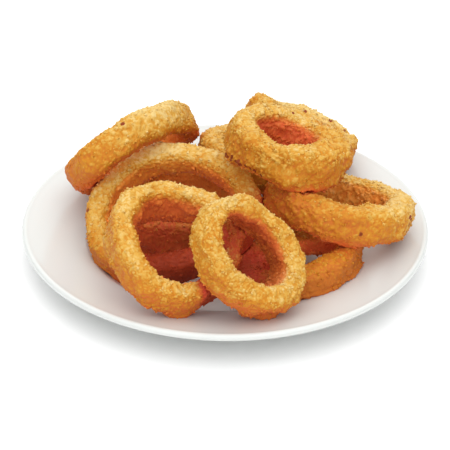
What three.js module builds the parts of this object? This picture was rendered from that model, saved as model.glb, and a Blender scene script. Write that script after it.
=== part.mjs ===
// A side of crumbed onion rings: ten fried rings heaped on a round china plate.
// Millimetres, Z up. The plate's foot stands on Z = 0 with its centre at X = Y = 0.
import * as THREE from "three";

// China plate, sizes as radii and heights
const PLATE_RADIUS = 105;
const LIP_TOP = { r: 102.8, z: 19.9 };
const LIP_SHOULDER = { r: 104.3, z: 19.3 };
const LIP_EDGE = { r: PLATE_RADIUS, z: 17.6 };
const LIP_UNDERSIDE = { r: 104, z: 16.3 };
const FOOT_INNER = 50;
const FOOT_OUTER = 56;
const FOOT_TAPER = 2;
const FOOT_CLIMB = 2.5;
const BASE_RECESS = 2;
const BASE_CENTRE = 2.2;
const WELL_RADIUS = 61;
const WELL_FLOOR = 5;
const WALL_START = { r: 64.5, z: 6 };
const SHOULDER_LOW = { r: 71.5, z: 11.3 };
const SHOULDER_HIGH = { r: 74, z: 12.4 };
const RIM_END = { r: 100.5, z: 18.9 };
const RIM_UNDER_START = { r: 72, z: 8.5 };
const RIM_UNDER_END = { r: 100, z: 15 };
const PLATE_SIDES = 72;
const CHINA = { color: 0xe9e9e7, roughness: 0.16, metalness: 0 };

// Rings: facets round the ring and round its crust, and the crust's crags
const RING_STEPS = 48;
const CRUST_STEPS = 12;
const CRAG_DEPTH = 0.8;
const SQUARENESS = 0.72;
const CRUST_ROUGHNESS = 0.62;

// centre: middle of the ring. tilt: lean of its axis from upright, in degrees, and toward: the
// compass way of that lean from +X. turn: where its length points, about its own axis.
// length and width: outer sizes. thickness and depth: the crust across and along the axis.
// warp: rise of the ends against the sides. egg: how much the sides widen to one end.
// swell: extra share of thickness on the side at swellAt degrees. deepen: extra share of depth
// on the side at deepenAt degrees, all of it at the underside.
const RINGS = {
  ring_back_left: {
    centre: [-49, 34, 42.5],
    tilt: 51,
    toward: 134,
    turn: 108,
    length: 85,
    width: 66,
    thickness: 13.5,
    depth: 18.5,
    warp: -1,
    egg: 0.02,
    swell: 0,
    swellAt: 0,
    deepen: 0,
    deepenAt: 0,
    color: 0xe0a04a,
  },
  ring_wide: {
    centre: [-27, -14, 31],
    tilt: 24,
    toward: -115,
    turn: 115,
    length: 91,
    width: 83,
    thickness: 13.5,
    depth: 16.5,
    warp: -2,
    egg: -0.08,
    swell: 0.05,
    swellAt: 20,
    deepen: 0,
    deepenAt: 0,
    color: 0xdf9f49,
  },
  ring_front_left: {
    centre: [-23.5, -57.5, 41.5],
    tilt: 29,
    toward: -62,
    turn: 79,
    length: 67,
    width: 70,
    thickness: 12.5,
    depth: 18,
    warp: 3,
    egg: -0.1,
    swell: 0.05,
    swellAt: 140,
    deepen: 0.6,
    deepenAt: 120,
    color: 0xdd9a44,
  },
  ring_front: {
    centre: [10, -73, 45],
    tilt: 53,
    toward: -47,
    turn: 115,
    length: 51,
    width: 65,
    thickness: 13,
    depth: 20,
    warp: -0.5,
    egg: 0.06,
    swell: 0.2,
    swellAt: 260,
    deepen: 0,
    deepenAt: 0,
    color: 0xe0a24d,
  },
  ring_top: {
    centre: [30, -1, 63.5],
    tilt: 16,
    toward: 23,
    turn: 104,
    length: 64,
    width: 64,
    thickness: 17,
    depth: 22.5,
    warp: 0.5,
    egg: -0.02,
    swell: 0.1,
    swellAt: 250,
    deepen: 0,
    deepenAt: 0,
    color: 0xd9923c,
  },
  ring_top_back: {
    centre: [40, 60, 39],
    tilt: 29,
    toward: 35,
    turn: 85,
    length: 66,
    width: 64,
    thickness: 13,
    depth: 19,
    warp: -1.5,
    egg: 0,
    swell: 0.1,
    swellAt: 300,
    deepen: 0,
    deepenAt: 0,
    color: 0xd78f3b,
  },
  ring_right: {
    centre: [57.5, -8, 34],
    tilt: 17,
    toward: 52,
    turn: 136,
    length: 78,
    width: 71,
    thickness: 15,
    depth: 19.5,
    warp: 0.5,
    egg: 0.04,
    swell: 0.15,
    swellAt: 80,
    deepen: 0,
    deepenAt: 0,
    color: 0xdb9640,
  },
  ring_low_right: {
    centre: [37, -37.5, 17.5],
    tilt: 7,
    toward: -169,
    turn: 15,
    length: 72.5,
    width: 48,
    thickness: 16,
    depth: 14.5,
    warp: -1,
    egg: 0,
    swell: 0.18,
    swellAt: -5,
    deepen: 0,
    deepenAt: 0,
    color: 0xcf8434,
  },
  ring_low_middle: {
    centre: [-20.5, 15.5, 16.5],
    tilt: -1,
    toward: 134,
    turn: 82,
    length: 73,
    width: 73,
    thickness: 12,
    depth: 20,
    warp: -1,
    egg: -0.04,
    swell: 0.05,
    swellAt: 50,
    deepen: 0,
    deepenAt: 0,
    color: 0xcb7c31,
  },
  ring_low_back: {
    centre: [14, 45, 30],
    tilt: 21,
    toward: 38,
    turn: 100,
    length: 57,
    width: 63,
    thickness: 13.5,
    depth: 19.5,
    warp: 0.5,
    egg: 0.02,
    swell: 0.05,
    swellAt: 30,
    deepen: 0,
    deepenAt: 0,
    color: 0xd58d3a,
  },
};

const X_AXIS = new THREE.Vector3(1, 0, 0);
const Y_AXIS = new THREE.Vector3(0, 1, 0);
const Z_AXIS = new THREE.Vector3(0, 0, 1);
const FULL_TURN = 2 * Math.PI;
const radians = THREE.MathUtils.degToRad;

// Random draws between 0 and 1 that repeat for the same seed.
function drawsFrom(seed) {
  let state = seed;
  return () => {
    state = (Math.imul(state, 1664525) + 1013904223) >>> 0;
    return state / 2 ** 32;
  };
}

// A power that keeps the sign, which makes a circle squarer when it is under 1.
function signedPower(value, power) {
  return Math.sign(value) * Math.abs(value) ** power;
}

// The centre line of a ring at the angle u: its point, its outward direction in the ring's plane,
// and half of the crust's thickness and depth there.
function centreLine(ring, u) {
  const halfLength = (ring.length - ring.thickness) / 2;
  const halfWidth = (ring.width - ring.thickness) / 2;
  const widening = 1 + ring.egg * Math.cos(u);
  const along = new THREE.Vector2(
    -halfLength * Math.sin(u),
    halfWidth * (Math.cos(u) * widening - ring.egg * Math.sin(u) ** 2),
  ).normalize();
  const swell = 1 + ring.swell * Math.cos(u - radians(ring.swellAt));
  const nearDeep = (1 + Math.cos(u - radians(ring.deepenAt))) / 2;
  const deeper = (ring.depth / 2) * ring.deepen * nearDeep ** 2;
  return {
    x: halfLength * Math.cos(u),
    y: halfWidth * Math.sin(u) * widening,
    z: ring.warp * Math.cos(2 * u) - deeper,
    outX: along.y,
    outY: -along.x,
    halfThickness: (ring.thickness / 2) * swell,
    halfDepth: ring.depth / 2 + deeper,
  };
}

// A point of the crust: u runs round the ring, v round the crust, crag is a depth below its surface.
function crustPoint(ring, u, v, crag) {
  const line = centreLine(ring, u);
  const out = (line.halfThickness - crag) * signedPower(Math.cos(v), SQUARENESS);
  const up = (line.halfDepth - crag) * signedPower(Math.sin(v), SQUARENESS);
  return [line.x + out * line.outX, line.y + out * line.outY, line.z + up];
}

// The closed surface of one ring, with its crags drawn at random.
function ringGeometry(ring, seed) {
  const draw = drawsFrom(seed);
  const positions = [];
  const faces = [];
  for (let i = 0; i < RING_STEPS; i += 1) {
    for (let j = 0; j < CRUST_STEPS; j += 1) {
      const u = (i / RING_STEPS) * FULL_TURN;
      const v = (j / CRUST_STEPS) * FULL_TURN;
      positions.push(...crustPoint(ring, u, v, CRAG_DEPTH * draw()));
      const nextI = (i + 1) % RING_STEPS;
      const nextJ = (j + 1) % CRUST_STEPS;
      const here = i * CRUST_STEPS + j;
      const ahead = nextI * CRUST_STEPS + j;
      const above = i * CRUST_STEPS + nextJ;
      const aheadAbove = nextI * CRUST_STEPS + nextJ;
      faces.push(here, ahead, aheadAbove, here, aheadAbove, above);
    }
  }
  const geometry = new THREE.BufferGeometry();
  geometry.setAttribute("position", new THREE.Float32BufferAttribute(positions, 3));
  geometry.setIndex(faces);
  geometry.computeVertexNormals();
  return geometry;
}

// One ring, set at its place in the heap.
function ringMesh(name, ring, seed) {
  const material = new THREE.MeshStandardMaterial({
    color: ring.color,
    roughness: CRUST_ROUGHNESS,
    metalness: 0,
  });
  const mesh = new THREE.Mesh(ringGeometry(ring, seed), material);
  const lean = new THREE.Quaternion().setFromAxisAngle(Y_AXIS, radians(ring.tilt));
  const turn = new THREE.Quaternion().setFromAxisAngle(Z_AXIS, radians(ring.turn));
  mesh.name = name;
  mesh.quaternion.setFromAxisAngle(Z_AXIS, radians(ring.toward)).multiply(lean).multiply(turn);
  mesh.position.set(...ring.centre);
  return mesh;
}

// The plate's section, from the middle of its underside out to the lip and back to the well.
function plateProfile() {
  const path = [
    { r: 0, z: BASE_CENTRE },
    { r: FOOT_INNER - FOOT_TAPER, z: BASE_RECESS },
    { r: FOOT_INNER, z: 0 },
    { r: FOOT_OUTER, z: 0 },
    { r: FOOT_OUTER + FOOT_TAPER, z: FOOT_CLIMB },
    RIM_UNDER_START,
    RIM_UNDER_END,
    LIP_UNDERSIDE,
    LIP_EDGE,
    LIP_SHOULDER,
    LIP_TOP,
    RIM_END,
    SHOULDER_HIGH,
    SHOULDER_LOW,
    WALL_START,
    { r: WELL_RADIUS, z: WELL_FLOOR },
    { r: 0, z: WELL_FLOOR },
  ];
  return path.map(({ r, z }) => new THREE.Vector2(r, z));
}

// The plate, turned from its section about the upright axis.
function plateMesh() {
  const geometry = new THREE.LatheGeometry(plateProfile(), PLATE_SIDES);
  geometry.rotateX(Math.PI / 2);
  const mesh = new THREE.Mesh(geometry, new THREE.MeshStandardMaterial(CHINA));
  mesh.name = "plate";
  return mesh;
}

const side = new THREE.Group();
side.name = "onion_rings_side";
side.add(plateMesh());
Object.entries(RINGS).forEach(([name, ring], index) => {
  side.add(ringMesh(name, ring, index + 1));
});

export default side;
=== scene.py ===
import math

import bpy
import numpy as np
from mathutils import Matrix, Vector


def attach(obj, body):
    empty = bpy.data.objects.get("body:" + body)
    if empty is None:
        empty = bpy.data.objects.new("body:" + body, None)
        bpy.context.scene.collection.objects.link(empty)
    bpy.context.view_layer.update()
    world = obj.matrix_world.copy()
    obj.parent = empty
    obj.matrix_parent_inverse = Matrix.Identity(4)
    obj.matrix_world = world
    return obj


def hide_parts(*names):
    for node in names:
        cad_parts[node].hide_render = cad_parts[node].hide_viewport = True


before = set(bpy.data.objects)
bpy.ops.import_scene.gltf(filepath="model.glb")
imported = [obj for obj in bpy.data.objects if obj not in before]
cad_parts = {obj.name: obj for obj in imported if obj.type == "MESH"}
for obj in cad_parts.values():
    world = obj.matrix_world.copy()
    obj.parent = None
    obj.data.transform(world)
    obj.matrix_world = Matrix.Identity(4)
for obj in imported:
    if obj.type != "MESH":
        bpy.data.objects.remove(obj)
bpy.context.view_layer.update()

bl_info = {
    "name": "Onion Rings Side",
    "version": (1, 0, 0),
    "blender": (4, 5, 0),
    "location": "View3D > Sidebar > Onion Rings",
    "description": "Crumbed onion rings heaped on a round china plate",
    "category": "Object",
}

MM = 0.001
FULL_TURN = 2 * math.pi

# What a ring has where its own entry says nothing else. Egg is the share by which the oval widens
# to one end, swell the share by which the crust thickens on the side at swell_at degrees, and
# deepen the share of depth that is added to its underside on the side at deepen_at degrees. Lumps
# is the share of the usual unevenness. Brown says how far the crust is fried past the usual
# colour. Inside and shade say how much painted shade the wall of the hole takes, redder and darker
# than usual. A painted shade arc has its angle round the ring, its width in degrees and its
# strength: it paints shade, dark shade past 1, and under 0 it paints light, pale instead. Burnt
# crumbs lie at pairs of degrees, round the ring and round its crust; some of them also paint a
# contact shadow.
PLAIN_RING = dict(
    egg=0, swell=0, swell_at=0, deepen=0, deepen_at=0, lumps=1.0, brown=0.15,
    inside=0, shade=0, soaked=(), burnt=(),
)

# Each ring's middle in mm; the lean of its axis from upright, the compass way of that lean and the
# turn of its length about its axis, in degrees; its outer length and width, its crust's thickness
# seen along the axis and depth along it, and its warp, the rise of the oval's ends against its
# sides, in mm.
# The painted shade arcs below darken rings where they lie in one another's shade, and paint light
# where they are under 0.
RINGS = {
    "ring_back_left": PLAIN_RING | dict(
        centre=(-49, 34, 42.5), tilt=51, toward=134, turn=108,
        length=85, width=66, thickness=13.5, depth=18.5, warp=-1, egg=0.02,
        lumps=0.8, brown=0.35, soaked=((95, 45, -0.7),), burnt=((45, 27),),
    ),
    "ring_wide": PLAIN_RING | dict(
        centre=(-27, -14, 31), tilt=24, toward=-115, turn=115,
        length=91, width=83, thickness=13.5, depth=16.5, warp=-2, egg=-0.08,
        swell=0.05, swell_at=20, lumps=0.7, brown=0.2,
        soaked=((272, 34, 2.1), (335, 22, 0.9), (5, 45, 0.2), (95, 50, -0.6)),
        burnt=((173, 58),),
    ),
    "ring_front_left": PLAIN_RING | dict(
        centre=(-23.5, -57.5, 41.5), tilt=29, toward=-62, turn=79,
        length=67, width=70, thickness=12.5, depth=18, warp=3, egg=-0.1,
        swell=0.05, swell_at=140, deepen=0.6, deepen_at=120, lumps=1.2, brown=-0.06,
        inside=0.45, soaked=((340, 45, 0.75), (290, 9, 2.5)),
    ),
    "ring_front": PLAIN_RING | dict(
        centre=(10, -73, 45), tilt=53, toward=-47, turn=115,
        length=51, width=65, thickness=13, depth=20, warp=-0.5, egg=0.06,
        swell=0.2, swell_at=260, lumps=1.2, brown=-0.05, shade=0.7,
    ),
    "ring_top": PLAIN_RING | dict(
        centre=(30, -1, 63.5), tilt=16, toward=23, turn=104,
        length=64, width=64, thickness=17, depth=22.5, warp=0.5, egg=-0.02,
        swell=0.1, swell_at=250, lumps=1.5, brown=0.05, inside=0.7,
        # Most of these dark crumbs along the lower edge paint the contact shadow where this ring
        # rests on ring_wide.
        burnt=(
            (66, -42), (72, -42), (79, -38), (87, -34), (93, -35), (99, -36), (105, -38),
            (112, -41), (119, -46), (70, -32), (80, -28), (90, -27), (100, -29), (110, -33),
            (318, 97),
        ),
    ),
    "ring_top_back": PLAIN_RING | dict(
        centre=(40, 60, 39), tilt=29, toward=35, turn=85,
        length=66, width=64, thickness=13, depth=19, warp=-1.5,
        swell=0.1, swell_at=300, lumps=1.3, soaked=((300, 60, -0.8),),
        burnt=((25, 103), (325, 118), (286, 110), (258, 95), (210, 1), (218, -16)),
    ),
    "ring_right": PLAIN_RING | dict(
        centre=(57.5, -8, 34), tilt=17, toward=52, turn=136,
        length=78, width=71, thickness=15, depth=19.5, warp=0.5, egg=0.04,
        swell=0.15, swell_at=80,
        soaked=((15, 45, 0.35), (95, 25, 0.2), (150, 45, -0.6), (258, 60, -0.4)),
        burnt=((146, 22), (152, 8), (154, -2), (148, -12), (96, -6)),
    ),
    "ring_low_right": PLAIN_RING | dict(
        centre=(37, -37.5, 17.5), tilt=7, toward=-169, turn=15,
        length=72.5, width=48, thickness=16, depth=14.5, warp=-1,
        swell=0.18, swell_at=-5, brown=0.8, soaked=((348, 50, 1.5),),
    ),
    "ring_low_middle": PLAIN_RING | dict(
        centre=(-20.5, 15.5, 16.5), tilt=-1, toward=134, turn=82,
        length=73, width=73, thickness=12, depth=20, warp=-1, egg=-0.04,
        swell=0.05, swell_at=50, brown=0.2, soaked=((30, 60, 0.7),),
    ),
    "ring_low_back": PLAIN_RING | dict(
        centre=(14, 45, 30), tilt=21, toward=38, turn=100,
        length=57, width=63, thickness=13.5, depth=19.5, warp=0.5, egg=0.02,
        swell=0.05, swell_at=30, brown=-0.1,
    ),
}

# The power of cosine and sine that squares off a ring's round section
SQUARENESS = 0.72
# Rings whose outlines come this near in mm are neighbours
NEAR = 15
# The share of the places for a flake that hold one, and the same for usual crumbs
FLAKE_SHARE, CRUMB_SHARE = 0.45, 0.8
# Lumps, flakes and usual crumbs of this height lie even with the smooth crust
LUMP_LEVEL, FLAKE_LEVEL, CRUMB_LEVEL = 0.35, 0.2, 0.3
# Reach and size in mm of the noise that bends the crumbs' outlines
BEND_REACH, BEND_SIZE = 0.5, 1.3
# Sizes in mm of the patches where crumbs stand higher, and of those where the crust is browner
ROUGH_PATCH, BROWN_PATCH = 12.0, 17.0
# Radius of a burnt crumb in mm
BURNT_RADIUS = 1.5
# Openness and swelling are worked out on a grid this many times coarser than the mesh
COARSE = 4

# The plate's section in mm, as radius and height: its underside from the middle out to the lip, and
# its upper face from the lip back to the middle of the well.
PLATE_UNDERSIDE = (
    (0, 2.2), (48, 2), (50, 0), (56, 0), (58, 2.5), (72, 8.5), (100, 15), (104, 16.3),
    (105, 17.6), (104.3, 19.3),
)
PLATE_UPPER_FACE = (
    (102.8, 19.9), (100.5, 18.9), (74, 12.4), (71.5, 11.3), (64.5, 6), (61, 5), (0, 5),
)
# Height in mm under which the foot is bare clay
BARE_FOOT = 0.2

# Noise in the materials in waves to the metre: grains and patches of colour in the crust, its fine
# grit, and haze on the glaze
GRAIN, PATCH, GRIT, HAZE = 1100, 190, 2400, 60

# Half of the floor's side in mm
FLOOR_REACH = 4000.0
# Width of the camera's sensor in mm
SENSOR_WIDTH = 36


# ---------------------------------------------------------------- settings


def colour_setting(name, description, default):
    """A colour that a user can change."""
    return bpy.props.FloatVectorProperty(
        name=name, description=description, default=default, subtype="COLOR",
        size=3, min=0, max=1,
    )


def length_setting(name, description, default):
    """A length in metres that a user can change."""
    return bpy.props.FloatProperty(
        name=name, description=description, default=default, unit="LENGTH", min=0, precision=5,
    )


def angle_setting(name, description, degrees):
    """An angle that a user can change."""
    return bpy.props.FloatProperty(
        name=name, description=description, default=math.radians(degrees), subtype="ANGLE",
    )


def number_setting(name, description, default):
    """A plain number that a user can change."""
    return bpy.props.FloatProperty(name=name, description=description, default=default)


def count_setting(name, description, default):
    """A whole number that a user can change."""
    return bpy.props.IntProperty(name=name, description=description, default=default)


class CrustSettings(bpy.types.PropertyGroup):
    """Sizes and colours of the fried crumb crust."""

    steps_round: count_setting("Steps round a ring", "Mesh steps round each ring", 480)
    steps_across: count_setting("Steps round the crust", "Mesh steps round a ring's crust", 160)
    lump_size: length_setting("Lump size", "Width of the batter's soft lumps", 0.010)
    lump_depth: length_setting("Lump depth", "Rise of the batter's soft lumps", 0.0013)
    flake_size: length_setting("Flake size", "Room that each of the largest crumbs has", 0.0026)
    flake_depth: length_setting("Flake depth", "Rise of the largest crumbs", 0.0005)
    crumb_size: length_setting("Crumb size", "Room that each usual crumb has", 0.0015)
    crumb_depth: length_setting("Crumb depth", "Rise of the usual crumbs", 0.00045)
    stuck_crumbs: count_setting("Stuck crumbs", "Crumbs that stand out of each ring", 1200)
    stuck_size: length_setting("Stuck crumb size", "Usual width of a crumb that stands out", 0.0015)
    seed: count_setting("Seed", "Start of all random draws", 7)
    pale: colour_setting("Pale crumb", "Tops of the lightest crumbs", (0.69, 0.50, 0.19))
    straw: colour_setting("Straw crumb", "Light crumbs", (0.61, 0.345, 0.060))
    golden: colour_setting("Golden crumb", "Usual crumb colour", (0.54, 0.215, 0.015))
    # Amber also paints the shade in the crevices between crumbs and where the crust faces down.
    amber: colour_setting("Amber crumb", "Darker crumbs and crevices", (0.51, 0.145, 0.018))
    # These reds paint shade: down the walls of the holes, in closed and deep folds, and darkest on
    # the strongest painted shade arcs.
    hole_wall_shade: colour_setting("Toasted crust", "Walls of the rings' holes", (0.85, 0.235, 0.042))
    rust_shade: colour_setting("Rust", "Closed parts of the holes", (0.86, 0.160, 0.048))
    soaked: colour_setting("Soaked crust", "Deep folds and soaked arcs", (0.50, 0.052, 0.024))
    deepest_shade: colour_setting("Dark crust", "The darkest soaked arcs", (0.28, 0.036, 0.010))
    # Burnt crumbs, which also paint a contact shadow along ring_top's lower edge.
    burnt: colour_setting("Burnt crumb", "Crumbs that caught in the oil", (0.24, 0.045, 0.012))


class PlateSettings(bpy.types.PropertyGroup):
    """Sizes and colours of the china plate."""

    steps_round: count_setting("Steps round the plate", "Mesh steps round the plate", 256)
    glaze: colour_setting("Glaze", "Colour of the glazed china", (0.64, 0.66, 0.64))
    clay: colour_setting("Bare clay", "Colour of the unglazed foot", (0.62, 0.59, 0.54))


class StageSettings(bpy.types.PropertyGroup):
    """The camera, the lights and the floor."""

    camera_distance: length_setting("Camera distance", "From the heap to the camera", 0.9)
    camera_height: angle_setting("Camera elevation", "Angle over the table", 31.539)
    camera_roll: angle_setting("Camera roll", "Turn about the line of sight", 0.645)
    camera_target: bpy.props.FloatVectorProperty(
        name="Camera target", description="Place that the camera looks at", unit="LENGTH",
        default=(-0.000122, -0.021973, 0.030), size=3, precision=6,
    )
    focal_length: number_setting("Focal length", "Lens in mm on a 36 mm sensor", 142.95)
    sky: number_setting("Room light", "Strength of the white room all round", 0.25)
    sky_over: number_setting("Light overhead", "Strength that is added overhead", 1.0)
    sky_front: number_setting("Front light", "Strength added in front, half way up", 1.4)
    sky_back: number_setting("Back light", "Strength added behind, half way up", 0.8)
    floor: colour_setting("Floor", "Colour of the table", (0.93, 0.93, 0.93))


# ---------------------------------------------------------------- shader helpers


class Wire:
    """A shader socket that works in sums: each sign adds one Math node."""

    def __init__(self, shader, socket):
        self.shader = shader
        self.socket = socket

    def math(self, operation, *others, swapped=False):
        """One Math node on this socket and the others, swapped where this one comes second."""
        values = [self, *others]
        if swapped:
            values.reverse()
        return self.shader.node(
            "ShaderNodeMath", {"operation": operation}, dict(enumerate(values)),
        )

    def __add__(self, other):
        return self.math("ADD", other)

    def __radd__(self, other):
        return self.math("ADD", other, swapped=True)

    def __sub__(self, other):
        return self.math("SUBTRACT", other)

    def __rsub__(self, other):
        return self.math("SUBTRACT", other, swapped=True)

    def __mul__(self, other):
        return self.math("MULTIPLY", other)

    def __rmul__(self, other):
        return self.math("MULTIPLY", other, swapped=True)

    def clamped(self):
        """The value held between 0 and 1."""
        return self.shader.node(
            "ShaderNodeClamp", {}, {"Value": self, "Min": 0.0, "Max": 1.0},
        )

    def step(self, low, high):
        """A smooth climb from 0 at low to 1 at high."""
        return self.shader.node(
            "ShaderNodeMapRange",
            {"interpolation_type": "SMOOTHSTEP"},
            {"Value": self, "From Min": low, "From Max": high},
        )


class Shader:
    """The nodes of a material or of the world."""

    def __init__(self, owner):
        self.owner = owner
        self.tree = owner.node_tree

    @classmethod
    def material(cls, name):
        """The nodes of a new material."""
        material = bpy.data.materials.new(name)
        material.use_nodes = True
        return cls(material)

    def node(self, kind, settings, inputs, output=0):
        """Adds a node with its settings first, then its sockets' values or links."""
        node = self.tree.nodes.new(kind)
        for key, value in settings.items():
            if key == "stops":
                self.set_stops(node.color_ramp, value)
            else:
                setattr(node, key, value)
        for key, value in inputs.items():
            self.feed(node.inputs[key], value)
        return Wire(self, node.outputs[output])

    @staticmethod
    def set_stops(ramp, stops):
        """Gives a colour ramp its stops, as pairs of a place and a colour."""
        while len(ramp.elements) < len(stops):
            ramp.elements.new(0.5)
        for element, (place, colour) in zip(ramp.elements, stops):
            element.position = place
            element.color = (*colour, 1)

    def feed(self, socket, value):
        """Links a wire to a socket, or sets the socket's own value."""
        if isinstance(value, Wire):
            self.tree.links.new(value.socket, socket)
        elif socket.type == "RGBA" and len(value) == 3:
            socket.default_value = (*value, 1)
        else:
            socket.default_value = value

    def attribute(self, name):
        """The mesh attribute of that name, as a number."""
        return self.node("ShaderNodeAttribute", {"attribute_name": name}, {}, "Fac")

    def place(self):
        """Object coordinates, in metres."""
        return self.node("ShaderNodeTexCoord", {}, {}, "Object")

    def blend(self, share, low, high):
        """Colour low where share is 0 and high where it is 1."""
        return self.node(
            "ShaderNodeMix", {"data_type": "RGBA"}, {0: share, 6: low, 7: high}, 2,
        )

    def noise(self, scale, detail=2.0):
        """Soft noise between 0 and 1, with scale in waves to the metre."""
        return self.node(
            "ShaderNodeTexNoise",
            {},
            {"Vector": self.place(), "Scale": scale, "Detail": detail},
            "Fac",
        )

    def surface(self, **inputs):
        """Feeds the Principled shader's sockets, with spaces in their names as underscores."""
        for key, value in inputs.items():
            self.feed(self.tree.nodes["Principled BSDF"].inputs[key.replace("_", " ")], value)


# ---------------------------------------------------------------- noise on arrays of points


# Large odd numbers that scatter the cells, the seeds, and the bits of what comes of both
CELL_FACTORS = (73856093, 19349663, 83492791)
SEED_FACTOR = 2654435761
SCRAMBLE = ((16, 0x7FEB352D), (15, 0x846CA68B))


def draw(cell, seed):
    """Draws between 0 and 1 that repeat for the same cell: its three whole numbers are multiplied
    by large odd numbers, folded into one with the seed, and scrambled."""
    x, y, z = (
        cell[..., k].astype(np.int64).astype(np.uint32) * np.uint32(CELL_FACTORS[k])
        for k in range(3)
    )
    mixed = x ^ y ^ z ^ np.uint32(seed * SEED_FACTOR % 2**32)
    for shift, factor in SCRAMBLE:
        mixed = (mixed ^ (mixed >> np.uint32(shift))) * np.uint32(factor)
    return (mixed ^ (mixed >> np.uint32(16))) / 2.0**32


def soft_noise(points, size, seed):
    """Noise from -1 to 1: a draw at each corner of cubes of that size, faded between corners by
    3t^2 - 2t^3 along each axis."""
    place = points / size
    corner = np.floor(place)
    part = place - corner
    fade = part * part * (3 - 2 * part)
    total = np.zeros(points.shape[:-1])
    for k in range(8):
        step = np.array([k & 1, k >> 1 & 1, k >> 2 & 1])
        weight = np.where(step, fade, 1 - fade).prod(-1)
        total += weight * draw(corner + step, seed)
    return 2 * total - 1


def crumbs(points, size, share, seed):
    """Crumbs in cubes of that size: a share of the cubes holds one, with a random middle, a radius
    from 0.45 to 0.85 of the cube and a height from 0.35 to 1. Its rise is height times
    1.6 (1 - d^2), cut off at its height, with d the distance from its middle in radii, and the
    highest crumb counts. Returns the rise from 0 to 1, and the own draw of that crumb."""
    place = points / size
    home = np.floor(place)
    rise = np.zeros(points.shape[:-1])
    own = np.zeros(points.shape[:-1])
    for k in range(27):
        cell = home + np.array([k % 3 - 1, k // 3 % 3 - 1, k // 9 - 1])
        middle = cell + np.stack([draw(cell, seed + n) for n in range(3)], -1)
        away = place - middle
        radius = 0.45 + 0.4 * draw(cell, seed + 3)
        height = 0.35 + 0.65 * draw(cell, seed + 4)
        height = np.where(draw(cell, seed + 5) < share, height, 0)
        bump = height * np.minimum(1.6 * (1 - (away * away).sum(-1) / radius**2), 1)
        higher = bump > rise
        rise = np.where(higher, bump, rise)
        own = np.where(higher, draw(cell, seed + 6), own)
    return rise, own


def climb(value, low, high):
    """3t^2 - 2t^3, where t runs from 0 at low to 1 at high."""
    t = np.clip((value - low) / (high - low), 0, 1)
    return t * t * (3 - 2 * t)


# ---------------------------------------------------------------- the shape of a ring


def signed_power(value, power):
    """A power that keeps the sign, which squares off a circle when it is under 1."""
    return np.sign(value) * np.abs(value) ** power


def centre_line(ring, u):
    """The crust's centre line at angles u: x = half length cos u, y = half width sin u, widened by
    egg cos u, z = warp cos 2u less the deepening, which is a share of the half depth that fades
    by ((1 + cos (u - deepen_at)) / 2)^2. Also its tangent in the ring's plane and its speed, and
    half of the crust's thickness, which swells by a share of cos (u - swell_at), and depth."""
    half_length = (ring["length"] - ring["thickness"]) / 2
    half_width = (ring["width"] - ring["thickness"]) / 2
    widening = 1 + ring["egg"] * np.cos(u)
    x = half_length * np.cos(u)
    y = half_width * np.sin(u) * widening
    along_x = -half_length * np.sin(u)
    along_y = half_width * (np.cos(u) * widening - ring["egg"] * np.sin(u) ** 2)
    speed = np.hypot(along_x, along_y)
    swell = 1 + ring["swell"] * np.cos(u - math.radians(ring["swell_at"]))
    near_deep = (1 + np.cos(u - math.radians(ring["deepen_at"]))) / 2
    deeper = ring["depth"] / 2 * ring["deepen"] * near_deep**2
    middle = np.stack([x, y, ring["warp"] * np.cos(2 * u) - deeper], -1)
    along = np.stack([along_x / speed, along_y / speed], -1)
    return middle, along, speed, ring["thickness"] / 2 * swell, ring["depth"] / 2 + deeper


def ring_turn(ring):
    """The ring's turn: about its own axis, then its lean, then the compass way of the lean."""
    turn = (
        Matrix.Rotation(math.radians(ring["toward"]), 3, "Z")
        @ Matrix.Rotation(math.radians(ring["tilt"]), 3, "Y")
        @ Matrix.Rotation(math.radians(ring["turn"]), 3, "Z")
    )
    return np.array(turn)


def ring_grid(ring, steps_round, steps_across):
    """Points of the smooth crust in mm: at angle u of the centre line, the section at angle v is
    half thickness times cos v, and half depth times sin v, both to the power of squareness."""
    u, v = np.meshgrid(
        np.arange(steps_round) / steps_round * FULL_TURN,
        np.arange(steps_across) / steps_across * FULL_TURN,
        indexing="ij",
    )
    middle, along, _, half, half_depth = centre_line(ring, u)
    out = half * signed_power(np.cos(v), SQUARENESS)
    up = half_depth * signed_power(np.sin(v), SQUARENESS)
    offset = np.stack([out * along[..., 1], -out * along[..., 0], up], -1)
    return (middle + offset) @ ring_turn(ring).T + np.array(ring["centre"])


def closed_normals(points):
    """Unit normals of a grid that closes on itself both ways: the cross product of the differences
    between each point's neighbours."""
    along = np.roll(points, -1, 0) - np.roll(points, 1, 0)
    across = np.roll(points, -1, 1) - np.roll(points, 1, 1)
    normal = np.cross(along, across)
    return normal / np.maximum(np.linalg.norm(normal, axis=-1, keepdims=True), 1e-9)


def distance_to_ring(ring, points):
    """Rough distance in mm from points to a ring's crust: the nearest place of the centre line is
    found by two steps along its tangent, and the section there is a rounded square."""
    longest_step = 0.25  # radians
    local = (points - np.array(ring["centre"])) @ ring_turn(ring)
    x, y, z = local[..., 0], local[..., 1], local[..., 2]
    u = np.arctan2(
        y / (ring["width"] - ring["thickness"]), x / (ring["length"] - ring["thickness"]),
    )
    for _ in range(2):
        middle, along, speed, _, _ = centre_line(ring, u)
        ahead = (x - middle[..., 0]) * along[..., 0] + (y - middle[..., 1]) * along[..., 1]
        u = u + np.clip(ahead / speed, -longest_step, longest_step)
    middle, along, _, half, half_depth = centre_line(ring, u)
    out = (x - middle[..., 0]) * along[..., 1] - (y - middle[..., 1]) * along[..., 0]
    up = z - middle[..., 2]
    power = 2 / SQUARENESS
    reach = (np.abs(out / half) ** power + np.abs(up / half_depth) ** power) ** (1 / power)
    return np.hypot(out, up) * (1 - 1 / np.maximum(reach, 1e-3))


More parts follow.
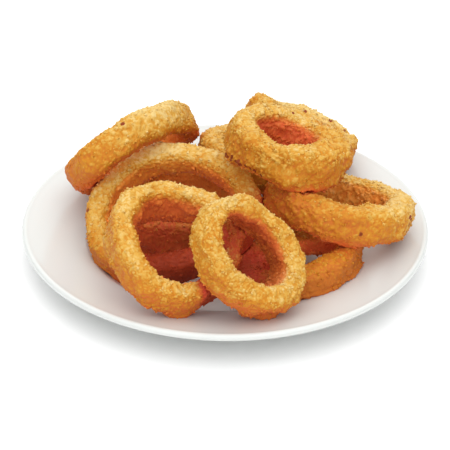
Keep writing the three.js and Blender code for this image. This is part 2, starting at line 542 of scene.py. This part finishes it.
def distance_to_plate(points):
    """Height in mm over the plate's upper face, out of its section."""
    r = np.hypot(points[..., 0], points[..., 1])
    upper = np.array(PLATE_UPPER_FACE)[::-1]
    return points[..., 2] - np.interp(r, upper[:, 0], upper[:, 1])


def neighbours(ring):
    """The other rings whose crusts can come near this one's."""
    found = []
    for other in RINGS.values():
        apart = math.dist(ring["centre"], other["centre"])
        if other is not ring and apart < (ring["length"] + other["length"]) / 2 + NEAR:
            found.append(other)
    return found


def openness(ring, points, normals):
    """How open each point lies, from 0 in a closed fold to 1 in the clear: within its own ring,
    and in the heap. Lines go out from the point, spread over the half sphere round its normal as
    sunflower seeds are, with their cosine. Along each line the free distance to crust and plate
    is taken at growing steps, and the least share of it to the distance gone says how free the
    line is. A line that the white plate stops still brings its share of light."""
    lines, steps = 18, 6
    lift, first = 0.5, 1.0  # mm from the crust to the lines' start, and their least step
    widest = 0.15  # share of the distance gone that makes a line wholly free
    shine = 0.5  # light that comes back from the plate
    golden_angle = math.pi * (3 - math.sqrt(5))
    others = neighbours(ring)
    side = np.cross(normals, np.array([0.3, 0.5, 0.81]))
    side /= np.maximum(np.linalg.norm(side, axis=-1, keepdims=True), 1e-6)
    up_side = np.cross(normals, side)
    in_ring = np.zeros(points.shape[:-1])
    in_heap = np.zeros(points.shape[:-1])
    for k in range(lines):
        out = math.sqrt((k + 0.5) / lines)
        turn = k * golden_angle
        line = normals * math.sqrt(1 - out * out)
        line = line + out * (side * math.cos(turn) + up_side * math.sin(turn))
        gone = np.full(points.shape[:-1], first)
        clear_own = np.ones(points.shape[:-1])
        clear_all = np.ones(points.shape[:-1])
        for _ in range(steps):
            probe = points + normals * lift + line * gone[..., None]
            own = distance_to_ring(ring, probe)
            plate = distance_to_plate(probe)
            crust_near = own
            for other in others:
                crust_near = np.minimum(crust_near, distance_to_ring(other, probe))
            narrow = widest * gone
            clear_own = np.minimum(clear_own, np.clip(own / narrow, 0, 1))
            clear_all = np.minimum(clear_all, np.clip(crust_near / narrow, 0, 1))
            clear_all = np.minimum(clear_all, shine + (1 - shine) * np.clip(plate / narrow, 0, 1))
            gone = gone + np.maximum(np.minimum(crust_near, plate), first)
        in_ring += clear_own
        in_heap += clear_all
    return in_ring / lines, in_heap / lines


def meeting(ring, points, normals):
    """How far the crust swells to meet what it rests on: half of the gap to the next ring, which
    comes as far, and the whole gap to the plate where the crust faces down, faded out where the
    gap is wide."""
    no_gap, ring_fade, plate_fade = 9.0, (1.8, 3.6), (1.8, 2.8)  # mm
    gap = np.full(points.shape[:-1], no_gap)
    for other in neighbours(ring):
        gap = np.minimum(gap, distance_to_ring(other, points))
    to_ring = 0.5 * gap * (1 - climb(gap, *ring_fade))
    to_plate = distance_to_plate(points)
    facing_down = climb(-normals[..., 2], 0, 0.8)
    to_plate = to_plate * (1 - climb(to_plate, *plate_fade)) * facing_down
    return np.maximum(to_ring, to_plate)


def spread(coarse, steps_round, steps_across):
    """A coarse closed grid brought to a fine one by straight steps between its points."""
    rows, columns = coarse.shape
    i = np.arange(steps_round) * rows / steps_round
    j = np.arange(steps_across) * columns / steps_across
    i0, j0 = i.astype(int), j.astype(int)
    fi, fj = (i - i0)[:, None], (j - j0)[None, :]
    i1, j1 = (i0 + 1) % rows, (j0 + 1) % columns
    low = coarse[i0][:, j0] * (1 - fj) + coarse[i0][:, j1] * fj
    high = coarse[i1][:, j0] * (1 - fj) + coarse[i1][:, j1] * fj
    return low * (1 - fi) + high * fi


def burnt_places(ring, steps_round, steps_across):
    """How dark each point of a ring's grid is from burnt crumbs, some of which paint a contact
    shadow: 1 at each listed place, falling off by 1 - d^2 with the distance d in radii of a burnt
    crumb."""
    smooth = ring_grid(ring, steps_round, steps_across)
    burnt = np.zeros(smooth.shape[:-1])
    for around, across in ring["burnt"]:
        row = round(around / 360 * steps_round) % steps_round
        column = round(across / 360 * steps_across) % steps_across
        away = np.linalg.norm(smooth - smooth[row, column], axis=-1) / BURNT_RADIUS
        burnt = np.maximum(burnt, 1 - away * away)
    return burnt


def painted_shade_arcs(ring, steps_round, steps_across):
    """How much shade is painted on the crust at each point of a ring's grid, with light painted
    where
    it is under 0: each arc brings its strength times exp (-(d / width)^2), with d the degrees from
    its angle."""
    u = np.arange(steps_round) / steps_round * 360
    soaked = np.zeros(steps_round)
    for angle, width, strength in ring["soaked"]:
        away = (u - angle + 180) % 360 - 180
        soaked += strength * np.exp(-((away / width) ** 2))
    return np.repeat(soaked[:, None], steps_across, axis=1)


def inner_wall(steps_round, steps_across):
    """How far each point of a ring's grid lies down the wall of its hole: the climb of v where the
    wall goes down, less its climb where the crust turns under."""
    down, under = (120, 168), (225, 265)  # degrees round the crust
    v = np.arange(steps_across) / steps_across * 360
    return np.tile(climb(v, *down) - climb(v, *under), (steps_round, 1))


def crumb_relief(ring, smooth, settings, seed):
    """Rise in mm of a crust's soft lumps, flakes and usual crumbs over its smooth points, each
    less the level that lies even with them, and each drawn from a seed of its own. Also the
    crumbs' height from 0 to 1, and the own draw of the crumb at each point."""
    lump_size = settings.lump_size / MM
    lumps = soft_noise(smooth, lump_size, seed)
    lumps = lumps + 0.5 * soft_noise(smooth, lump_size / 2.1, seed + 11)
    bend = np.stack([soft_noise(smooth, BEND_SIZE, seed + k) for k in (21, 22, 23)], -1)
    bent = smooth + BEND_REACH * bend
    flakes, flake_own = crumbs(bent, settings.flake_size / MM, FLAKE_SHARE, seed + 31)
    usual, usual_own = crumbs(bent, settings.crumb_size / MM, CRUMB_SHARE, seed + 41)
    rough = 0.7 + 0.6 * climb(soft_noise(smooth, ROUGH_PATCH, seed + 51), -0.6, 0.6)
    rough = rough * (0.4 + 0.6 * ring["lumps"])
    rise = (
        settings.lump_depth / MM * ring["lumps"] * (lumps - LUMP_LEVEL)
        + settings.flake_depth / MM * rough * (flakes - FLAKE_LEVEL)
        + settings.crumb_depth / MM * rough * (usual - CRUMB_LEVEL)
    )
    height = np.clip(0.5 * flakes + 0.6 * usual, 0, 1)
    own = np.where(flakes > 0.3, flake_own, usual_own)
    return rise, height, own


def crust(ring, settings, seed):
    """The crumbed crust of a ring: the smooth crust raised along its normal by its crumbs, and
    swollen where it meets its neighbours. Returns the points in mm, their normals, and what the
    material reads at each point."""
    round_, across = settings.steps_round, settings.steps_across
    smooth = ring_grid(ring, round_, across)
    normals = closed_normals(smooth)
    coarse = ring_grid(ring, round_ // COARSE, across // COARSE)
    coarse_normals = closed_normals(coarse)
    in_ring, in_heap = openness(ring, coarse, coarse_normals)
    swollen = meeting(ring, coarse, coarse_normals)
    rise, height, own = crumb_relief(ring, smooth, settings, seed)
    rise = rise + spread(swollen, round_, across)
    points = smooth + normals * rise[..., None]
    fine_normals = closed_normals(points)
    wall = inner_wall(round_, across)
    looks = {
        "height": height,
        "tone": own,
        # Openness within the ring and in the heap, which the material turns into painted shade in
        # the folds.
        "in_ring": spread(in_ring, round_, across),
        "in_heap": spread(in_heap, round_, across),
        # How far the crust faces up, which the material uses to paint light on the tops and shade
        # underneath.
        "up": 0.5 + 0.25 * (normals[..., 2] + fine_normals[..., 2]),
        "brown": ring["brown"] + 0.25 * soft_noise(smooth, BROWN_PATCH, seed + 61),
        "inner": wall,
        # Inside and shade paint shade on the wall of the hole, redder and darker.
        "inside": ring["inside"] * wall,
        "shade": ring["shade"] * wall,
        "soaked": painted_shade_arcs(ring, round_, across),
        "burnt": burnt_places(ring, round_, across),
    }
    return points, fine_normals, looks


def stuck_crumbs(points, normals, looks, settings, seed):
    """Crumbs that stand out of a crust: each is an eight-sided grain, squeezed and pushed about
    at random, set on a random point of the grid with its middle a little over the crust. Returns
    points in mm, faces and what the material reads."""
    squeeze, push, over = (0.6, 1.3), (0.7, 1.2), 0.1
    grain = np.array([(1, 0, 0), (0, 1, 0), (-1, 0, 0), (0, -1, 0), (0, 0, 1), (0, 0, -1)], float)
    side = np.arange(4)
    upper = np.stack([side, (side + 1) % 4, 0 * side + 4], -1)
    lower = np.stack([(side + 1) % 4, side, 0 * side + 5], -1)
    grain_faces = np.concatenate([upper, lower])
    count = settings.stuck_crumbs
    pick = np.random.default_rng(seed)
    spot = pick.integers(0, points.shape[0] * points.shape[1], count)
    at = points.reshape(-1, 3)[spot]
    normal = normals.reshape(-1, 3)[spot]
    size = settings.stuck_size / MM / 2 * (0.5 + pick.uniform(0, 1, (count, 1, 1)) ** 2)
    shape = grain[None] * pick.uniform(*squeeze, (count, 1, 3))
    shape = shape * pick.uniform(*push, (count, len(grain), 1))
    turn = np.linalg.qr(pick.normal(size=(count, 3, 3)))[0]
    turn *= np.sign(np.linalg.det(turn))[:, None, None]
    shape = np.einsum("nij,nkj->nki", turn, shape) * size
    crumb = at[:, None] + normal[:, None] * size * over + shape
    faces = grain_faces[None] + np.arange(count)[:, None, None] * len(grain)
    crumb_looks = {key: np.repeat(value.ravel()[spot], len(grain)) for key, value in looks.items()}
    crumb_looks["height"] = np.repeat(pick.uniform(0.4, 1.0, count), len(grain))
    crumb_looks["tone"] = np.repeat(pick.uniform(0.0, 1.0, count), len(grain))
    # Each stuck crumb is painted lighter on its upper side and darker underneath: painted light and
    # shade.
    crumb_looks["up"] = crumb_looks["up"] + (0.2 * shape[..., 2] / size[..., 0]).ravel()
    return crumb.reshape(-1, 3), faces.reshape(-1, 3), crumb_looks


# ---------------------------------------------------------------- meshes


def put_mesh(name, points, faces, looks, material, smooth=True):
    """A mesh object at the origin from points in mm, faces of equal corner count, and the values
    that the material reads, one to a point."""
    mesh = bpy.data.meshes.new(name)
    corners = faces.shape[1]
    mesh.vertices.add(len(points))
    mesh.loops.add(faces.size)
    mesh.polygons.add(len(faces))
    mesh.vertices.foreach_set("co", (points * MM).astype(np.float32).ravel())
    mesh.loops.foreach_set("vertex_index", faces.astype(np.int32).ravel())
    mesh.polygons.foreach_set("loop_start", np.arange(len(faces), dtype=np.int32) * corners)
    mesh.polygons.foreach_set("use_smooth", np.full(len(faces), smooth))
    for key, value in looks.items():
        attribute = mesh.attributes.new(key, "FLOAT", "POINT")
        attribute.data.foreach_set("value", value.astype(np.float32).ravel())
    mesh.update(calc_edges=True)
    mesh.validate()
    piece = bpy.data.objects.new(name, mesh)
    bpy.context.scene.collection.objects.link(piece)
    mesh.materials.append(material)
    return piece


def closed_faces(rows, columns):
    """Faces of a grid that closes on itself both ways, facing out where the normals do."""
    i, j = np.meshgrid(np.arange(rows), np.arange(columns), indexing="ij")
    next_i, next_j = (i + 1) % rows, (j + 1) % columns
    quads = [i * columns + j, next_i * columns + j, next_i * columns + next_j, i * columns + next_j]
    return np.stack(quads, -1).reshape(-1, 4)


def put_on(piece, slot, *nodes):
    """Lets a piece ride with the object and stand for nodes; the slot is not used."""
    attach(piece, "root")
    if nodes:
        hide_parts(*nodes)


# ---------------------------------------------------------------- materials


def crumb_colour(shader, settings, height, grain):
    """The open crust's colour, from amber through golden and straw to pale: lighter on high crumbs
    and where the crust faces up, painted light on the tops and painted shade in the crevices and
    underneath, with each crumb's own draw, fine grain and broad patches, darker where the ring is
    fried brown, and darker or paler on the painted shade arcs."""
    patch = shader.noise(PATCH)
    light = (
        0.22 * height + 0.24 * shader.attribute("tone") + 0.45 * (grain - 0.5)
        + 0.5 * (patch - 0.5) + 0.75 * shader.attribute("up")
        - 0.5 * shader.attribute("brown") - 0.4 * shader.attribute("soaked") - 0.25
    )
    stops = [
        (0.05, settings.amber), (0.36, settings.golden),
        (0.62, settings.straw), (0.92, settings.pale),
    ]
    return shader.node("ShaderNodeValToRGB", {"stops": stops}, {"Fac": light})


def folded_colour(shader, settings, colour, height, grain):
    """Painted shade carried on into a crust's folds: red down the wall of the hole, rust-red where
    it is closed in or faces down, deep red in deep folds and on the painted shade arcs, and dark
    past that. Within its own ring the closed-in red is partly the colour of crust fried in a fold
    and partly painted shade; between rings and underneath it is painted shade. The crumbs' high
    tops keep more of the colour that was given, and so do the arcs of painted light."""
    in_ring = 1 - shader.attribute("in_ring")
    in_heap = 1 - shader.attribute("in_heap")
    arc_shade = shader.attribute("soaked")
    uneven = 0.2 * (grain - 0.5) - 0.06 * height
    sides = 1 - 0.35 * height
    clear = (arc_shade + 1).clamped()
    hole_wall_shade = 0.75 * clear * (shader.attribute("inner") + uneven).step(0.0, 0.9)
    colour = shader.blend(hole_wall_shade, colour, settings.hole_wall_shade)
    # Painted shade under the crust where it faces down.
    under = 0.5 * (0.45 - shader.attribute("up")).step(0.0, 0.3)
    folded = (in_ring + uneven).step(0.04, 0.42) + 0.3 * (in_heap + uneven).step(0.3, 0.8) + under
    colour = shader.blend((folded * clear).clamped() * sides, colour, settings.rust_shade)
    deep = in_heap.step(0.62, 1.0) + 0.6 * (in_ring + uneven).step(0.35, 0.6)
    colour = shader.blend((deep * clear).clamped() * sides, colour, settings.soaked)
    red = (arc_shade + uneven).step(0.0, 1.0) + shader.attribute("inside")
    colour = shader.blend(red.clamped() * sides, colour, settings.soaked)
    deepest_shade = (arc_shade - 1).clamped() + shader.attribute("shade")
    return shader.blend(deepest_shade.clamped() * sides, colour, settings.deepest_shade)


def crust_material(settings):
    """Fried crumb: the open crust's colour, carried on into the folds as painted shade, with a few
    burnt crumbs, some of them a painted contact shadow, and a fine grit."""
    shader = Shader.material("fried_crumb")
    height = shader.attribute("height")
    grain = shader.noise(GRAIN, detail=3)
    colour = crumb_colour(shader, settings, height, grain)
    colour = folded_colour(shader, settings, colour, height, grain)
    burnt = (shader.attribute("burnt") + 0.5 * grain - 0.25).step(0.3, 0.6)
    colour = shader.blend(burnt, colour, settings.burnt)
    grit = shader.noise(GRIT, detail=3)
    bump = shader.node(
        "ShaderNodeBump", {}, {"Strength": 0.3, "Distance": 0.0004, "Height": grit}, "Normal",
    )
    shader.surface(
        Base_Color=colour,
        Roughness=0.6 - 0.15 * height,
        Normal=bump,
        Specular_IOR_Level=0.15,
    )
    return shader.owner


def china_material(settings):
    """Glazed white china, with a bare clay foot."""
    shader = Shader.material("glazed_china")
    foot = shader.attribute("foot")
    shader.surface(
        Base_Color=shader.blend(foot, settings.glaze, settings.clay),
        Roughness=0.16 + 0.04 * shader.noise(HAZE) + 0.5 * foot,
        IOR=1.5,
    )
    return shader.owner


def floor_material(settings):
    """A plain pale matte floor."""
    shader = Shader.material("pale_floor")
    shader.surface(Base_Color=tuple(settings.floor), Roughness=0.9, Specular_IOR_Level=0.0)
    return shader.owner


# ---------------------------------------------------------------- the shape of the plate


def smooth_path(path, rounds):
    """A path of straight steps rounded by cutting each corner at a quarter of both its sides, over
    and over, with the two ends kept."""
    path = np.array(path, float)
    for _ in range(rounds):
        start, end = path[:-1], path[1:]
        cut = np.stack([0.75 * start + 0.25 * end, 0.25 * start + 0.75 * end], 1).reshape(-1, 2)
        path = np.concatenate([path[:1], cut[1:-1], path[-1:]])
    return path


def turned(section, steps):
    """Points and triangles of a section that is carried round the upright axis: x = r cos a,
    y = r sin a. Its two ends lie on the axis and become one point each."""
    walls = section[1:-1]
    angle = np.arange(steps) / steps * FULL_TURN
    x = walls[:, :1] * np.cos(angle)
    y = walls[:, :1] * np.sin(angle)
    z = walls[:, 1:] + 0 * angle
    ends = np.array([[0, 0, section[0, 1]], [0, 0, section[-1, 1]]])
    points = np.concatenate([np.stack([x, y, z], -1).reshape(-1, 3), ends])
    i, j = np.meshgrid(np.arange(len(walls) - 1), np.arange(steps), indexing="ij")
    here, beside = i * steps + j, i * steps + (j + 1) % steps
    above, above_beside = here + steps, beside + steps
    first_end = np.full(steps, len(points) - 2)
    last_end = np.full(steps, len(points) - 1)
    triangles = [
        np.stack([here, beside, above_beside], -1).reshape(-1, 3),
        np.stack([here, above_beside, above], -1).reshape(-1, 3),
        np.stack([first_end, beside[0], here[0]], -1),
        np.stack([last_end, above[-1], above_beside[-1]], -1),
    ]
    return points, np.concatenate(triangles)


# ---------------------------------------------------------------- operators


class ONIONRINGS_OT_plate(bpy.types.Operator):
    """Add the china plate"""

    bl_idname = "onionrings.plate"
    bl_label = "Plate"

    def execute(self, context):
        """The plate's section is rounded and carried round the upright axis."""
        settings = context.scene.onionrings_plate
        section = smooth_path(PLATE_UNDERSIDE + PLATE_UPPER_FACE, rounds=3)
        points, triangles = turned(section, settings.steps_round)
        foot = (points[:, 2] < BARE_FOOT) * 1.0
        piece = put_mesh(
            "china_plate", points, triangles, {"foot": foot}, china_material(settings),
        )
        put_on(piece, "glazed_china", "plate")
        return {"FINISHED"}


class ONIONRINGS_OT_rings(bpy.types.Operator):
    """Add the crumbed onion rings"""

    bl_idname = "onionrings.rings"
    bl_label = "Rings"

    def execute(self, context):
        """Each ring is its crust as one closed mesh, and the crumbs that stand out of all the
        rings are one mesh of small closed ones."""
        settings = context.scene.onionrings_crust
        material = crust_material(settings)
        faces = closed_faces(settings.steps_round, settings.steps_across)
        loose = []
        for index, (node, ring) in enumerate(RINGS.items()):
            seed = settings.seed + 100 * index
            points, normals, looks = crust(ring, settings, seed)
            piece = put_mesh("crumbed_" + node, points.reshape(-1, 3), faces, looks, material)
            put_on(piece, "crumb_crust", node)
            loose.append(stuck_crumbs(points, normals, looks, settings, seed))
        first = np.cumsum([0] + [len(points) for points, _, _ in loose[:-1]])
        points = np.concatenate([points for points, _, _ in loose])
        crumb_faces = np.concatenate([part[1] + start for part, start in zip(loose, first)])
        looks = {
            key: np.concatenate([part[2][key] for part in loose]) for key in loose[0][2]
        }
        piece = put_mesh("stuck_crumbs", points, crumb_faces, looks, material, smooth=False)
        put_on(piece, "crumb_crust")
        return {"FINISHED"}


class ONIONRINGS_OT_stage(bpy.types.Operator):
    """Add the floor, the soft studio light and the camera"""

    bl_idname = "onionrings.stage"
    bl_label = "Stage"

    def execute(self, context):
        """A plain floor, a white room that lights it softly, and the camera."""
        settings = context.scene.onionrings_stage
        self.add_floor(settings)
        self.add_room(context, settings)
        self.add_camera(context, settings)
        return {"FINISHED"}

    def add_floor(self, settings):
        """A square floor under the plate."""
        square = np.array([[-1, -1, 0], [1, -1, 0], [1, 1, 0], [-1, 1, 0]])
        face = np.array([[0, 1, 2, 3]])
        floor = put_mesh("floor", square * FLOOR_REACH, face, {}, floor_material(settings))

    def add_room(self, context, settings):
        """A white room with three broad bright parts: overhead, in front half way up, and behind
        half way up. Each has its middle, the cosines of the angle to it where the part starts and
        where it is full, and its strength."""
        world = bpy.data.worlds.new("white_room")
        world.use_nodes = True
        shader = Shader(world)
        way = shader.node("ShaderNodeTexCoord", {}, {}, "Generated")
        half = math.sqrt(0.5)
        bright_parts = (
            ((0, 0, 1), 0.3, 0.95, settings.sky_over),
            ((0, -half, half), 0.5, 1.0, settings.sky_front),
            ((0, half, half), 0.5, 1.0, settings.sky_back),
        )
        strength = settings.sky
        for middle, low, high, more in bright_parts:
            near = shader.node(
                "ShaderNodeVectorMath", {"operation": "DOT_PRODUCT"}, {0: way, 1: middle}, "Value",
            )
            strength = strength + more * near.step(low, high)
        background = shader.tree.nodes["Background"]
        shader.feed(background.inputs["Color"], (1, 1, 1))
        shader.feed(background.inputs["Strength"], strength)
        context.scene.world = world

    def add_camera(self, context, settings):
        """A long lens in front of the heap, turned to its target and then rolled."""
        tip, roll = settings.camera_height, settings.camera_roll
        back = Vector((0, -math.cos(tip), math.sin(tip)))
        right = Vector((1, 0, 0))
        up = back.cross(right)
        turned_right = right * math.cos(roll) + up * math.sin(roll)
        turned_up = up * math.cos(roll) - right * math.sin(roll)
        lens = bpy.data.cameras.new("camera")
        lens.lens = settings.focal_length
        lens.sensor_width = SENSOR_WIDTH
        lens.clip_end = 20
        camera = bpy.data.objects.new("camera", lens)
        basis = Matrix((turned_right, turned_up, back)).transposed().to_4x4()
        place = Vector(settings.camera_target) + back * settings.camera_distance
        camera.matrix_world = Matrix.Translation(place) @ basis
        context.scene.collection.objects.link(camera)
        context.scene.camera = camera
        context.scene.view_settings.view_transform = "Standard"


class ONIONRINGS_PT_panel(bpy.types.Panel):
    """The onion rings side's steps and settings"""

    bl_idname = "ONIONRINGS_PT_panel"
    bl_label = "Onion Rings Side"
    bl_space_type = "VIEW_3D"
    bl_region_type = "UI"
    bl_category = "Onion Rings"

    def draw(self, context):
        """One button for each step, and its settings under it."""
        for operator, group in STEPS:
            self.layout.operator(operator.bl_idname)
            settings = getattr(context.scene, group)
            for key in settings.__annotations__:
                self.layout.prop(settings, key)


STEPS = (
    (ONIONRINGS_OT_plate, "onionrings_plate"),
    (ONIONRINGS_OT_rings, "onionrings_crust"),
    (ONIONRINGS_OT_stage, "onionrings_stage"),
)
CLASSES = (
    CrustSettings,
    PlateSettings,
    StageSettings,
    ONIONRINGS_OT_plate,
    ONIONRINGS_OT_rings,
    ONIONRINGS_OT_stage,
    ONIONRINGS_PT_panel,
)


def register():
    """Registers the classes and hangs the settings on the scene."""
    for item in CLASSES:
        bpy.utils.register_class(item)
    bpy.types.Scene.onionrings_crust = bpy.props.PointerProperty(type=CrustSettings)
    bpy.types.Scene.onionrings_plate = bpy.props.PointerProperty(type=PlateSettings)
    bpy.types.Scene.onionrings_stage = bpy.props.PointerProperty(type=StageSettings)


def unregister():
    """Takes the settings and the classes away again."""
    del bpy.types.Scene.onionrings_stage
    del bpy.types.Scene.onionrings_plate
    del bpy.types.Scene.onionrings_crust
    for item in reversed(CLASSES):
        bpy.utils.unregister_class(item)


def main():
    """Runs the steps in order."""
    register()
    bpy.ops.onionrings.plate()
    bpy.ops.onionrings.rings()
    bpy.ops.onionrings.stage()


if __name__ == "__main__":
    main()
